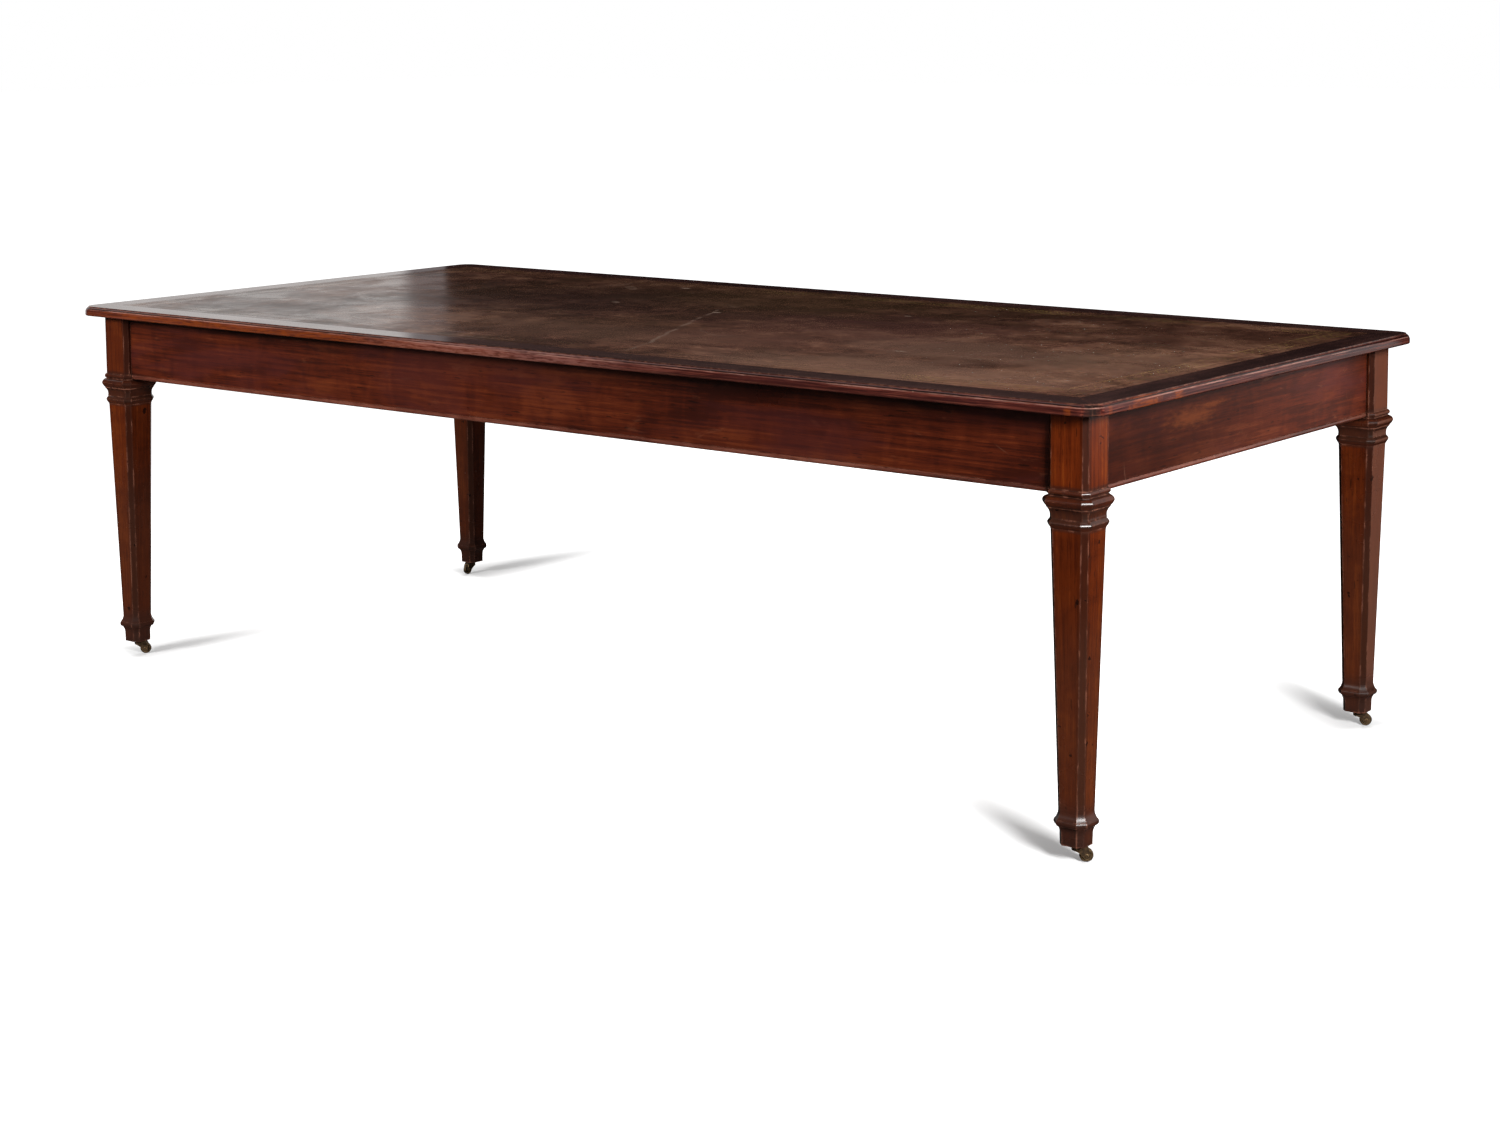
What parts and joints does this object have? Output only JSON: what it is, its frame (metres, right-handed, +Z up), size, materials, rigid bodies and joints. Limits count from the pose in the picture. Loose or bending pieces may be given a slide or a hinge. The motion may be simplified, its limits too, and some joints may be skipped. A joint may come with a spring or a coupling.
{
  "type": "library table",
  "caption": "Long library table with a leather-lined top, moulded tapering square legs with chamfered corners, and a small swivelling brass caster under each leg.",
  "frame": {"origin": "on the floor, under the centre of the top", "axes": "+X along the table's length, -Y towards the front long side, +Z up"},
  "size_m": [2.51, 1.18, 0.76],
  "materials": {
    "mahogany_leg": "old polished mahogany, vertical grain, worn arrises",
    "mahogany_rail": "old polished mahogany, horizontal grain",
    "mahogany_bead": "old polished mahogany moulding",
    "mahogany_border": "dark polished mahogany with worn edges",
    "inner_wood": "unpolished, planed",
    "leather": "worn brown hide with gilt tooled lines",
    "caster_brass": "aged, dulled brass",
    "wheel_brass": "aged brass with a worn tread",
    "steel": "dull steel"
  },
  "bodies": {
    "table": {"border_splines": "inner_wood", "caster_pivot_back_left": "steel", "caster_pivot_back_right": "steel", "caster_pivot_front_left": "steel", "caster_pivot_front_right": "steel", "caster_plate_back_left": "caster_brass", "caster_plate_back_right": "caster_brass", "caster_plate_front_left": "caster_brass", "caster_plate_front_right": "caster_brass", "caster_screws_back_left": "steel", "caster_screws_back_right": "steel", "caster_screws_front_left": "steel", "caster_screws_front_right": "steel", "cross_bearer_1": "inner_wood", "cross_bearer_2": "inner_wood", "glue_blocks_back_left": "inner_wood", "glue_blocks_back_right": "inner_wood", "glue_blocks_front_left": "inner_wood", "glue_blocks_front_right": "inner_wood", "leather_inset": "leather", "leg_back_left": "mahogany_leg", "leg_back_right": "mahogany_leg", "leg_front_left": "mahogany_leg", "leg_front_right": "mahogany_leg", "rail_back": "mahogany_rail", "rail_bead_back": "mahogany_bead", "rail_bead_front": "mahogany_bead", "rail_bead_left": "mahogany_bead", "rail_bead_right": "mahogany_bead", "rail_front": "mahogany_rail", "rail_left": "mahogany_rail", "rail_right": "mahogany_rail", "top_board_1": "inner_wood", "top_board_2": "inner_wood", "top_board_3": "inner_wood", "top_border_back": "mahogany_border", "top_border_front": "mahogany_border", "top_border_left": "mahogany_border", "top_border_right": "mahogany_border", "top_button_screws": "steel", "top_buttons": "inner_wood"},
    "horn_front_right": {"caster_horn_front_right": "caster_brass", "caster_axle_front_right": "caster_brass"},
    "wheel_front_right": {"caster_wheel_front_right": "wheel_brass"},
    "horn_back_right": {"caster_horn_back_right": "caster_brass", "caster_axle_back_right": "caster_brass"},
    "wheel_back_right": {"caster_wheel_back_right": "wheel_brass"},
    "horn_back_left": {"caster_horn_back_left": "caster_brass", "caster_axle_back_left": "caster_brass"},
    "wheel_back_left": {"caster_wheel_back_left": "wheel_brass"},
    "horn_front_left": {"caster_horn_front_left": "caster_brass", "caster_axle_front_left": "caster_brass"},
    "wheel_front_left": {"caster_wheel_front_left": "wheel_brass"}
  },
  "joints": [
    {"name": "swivel_front_right", "type": "hinge", "parent": "table", "child": "horn_front_right", "pos_m": [1.182, -0.517, 0.02], "axis": [0, 0, 1], "continuous": true},
    {"name": "roll_front_right", "type": "hinge", "parent": "horn_front_right", "child": "wheel_front_right", "pos_m": [1.195, -0.50684, 0.0115], "axis": [-0.6157, 0.788, 0], "continuous": true},
    {"name": "swivel_back_right", "type": "hinge", "parent": "table", "child": "horn_back_right", "pos_m": [1.182, 0.517, 0.02], "axis": [0, 0, 1], "continuous": true},
    {"name": "roll_back_right", "type": "hinge", "parent": "horn_back_right", "child": "wheel_back_right", "pos_m": [1.195, 0.52716, 0.0115], "axis": [-0.6157, 0.788, 0], "continuous": true},
    {"name": "swivel_back_left", "type": "hinge", "parent": "table", "child": "horn_back_left", "pos_m": [-1.182, 0.517, 0.02], "axis": [0, 0, 1], "continuous": true},
    {"name": "roll_back_left", "type": "hinge", "parent": "horn_back_left", "child": "wheel_back_left", "pos_m": [-1.182, 0.5005, 0.0115], "axis": [1, 0, 0], "continuous": true},
    {"name": "swivel_front_left", "type": "hinge", "parent": "table", "child": "horn_front_left", "pos_m": [-1.182, -0.517, 0.02], "axis": [0, 0, 1], "continuous": true},
    {"name": "roll_front_left", "type": "hinge", "parent": "horn_front_left", "child": "wheel_front_left", "pos_m": [-1.169, -0.50684, 0.0115], "axis": [-0.6157, 0.788, 0], "continuous": true}
  ]
}
